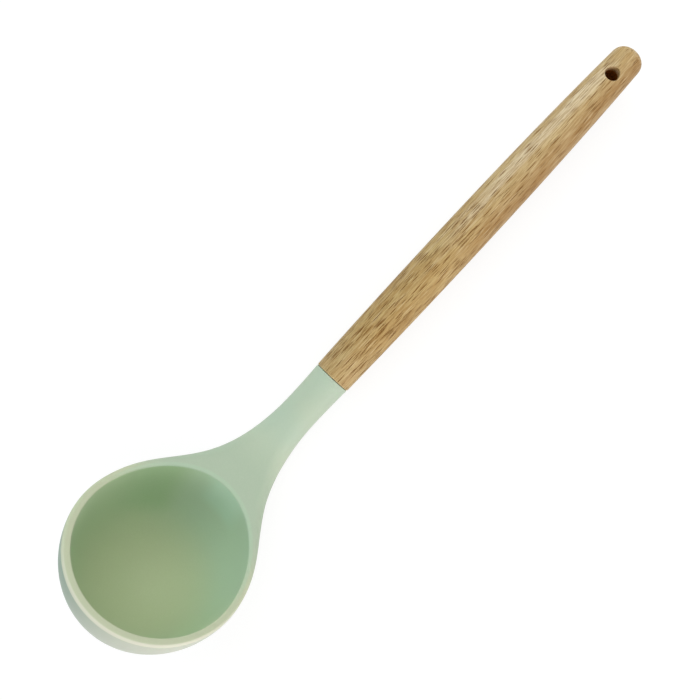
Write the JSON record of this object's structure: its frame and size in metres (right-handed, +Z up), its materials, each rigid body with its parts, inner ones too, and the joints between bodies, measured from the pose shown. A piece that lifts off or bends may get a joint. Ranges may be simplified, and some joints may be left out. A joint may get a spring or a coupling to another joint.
{
  "type": "soup ladle",
  "caption": "Soup ladle: a deep round bowl and curved neck moulded in soft silicone over a stiff core, glued into a turned wooden handle with a hanging hole.",
  "frame": {"origin": "on the table, below the middle of the ladle's length and width, as it lies bowl up on the bowl's back and the near end of its handle", "axes": "+X along the ladle towards the end of the handle, +Z up from the table, +Y completes the right-handed frame"},
  "size_m": [0.321, 0.0736, 0.0668],
  "materials": {
    "silicone": "matte moulded silicone, pale sage green",
    "nylon": "moulded nylon, dark grey",
    "glue": "set epoxy, pale amber",
    "wood": "oiled pale hardwood with fine open pores along the grain"
  },
  "bodies": {
    "root": {"silicone_head": "silicone", "core": "nylon", "adhesive": "glue", "wood_handle": "wood"}
  },
  "joints": []
}
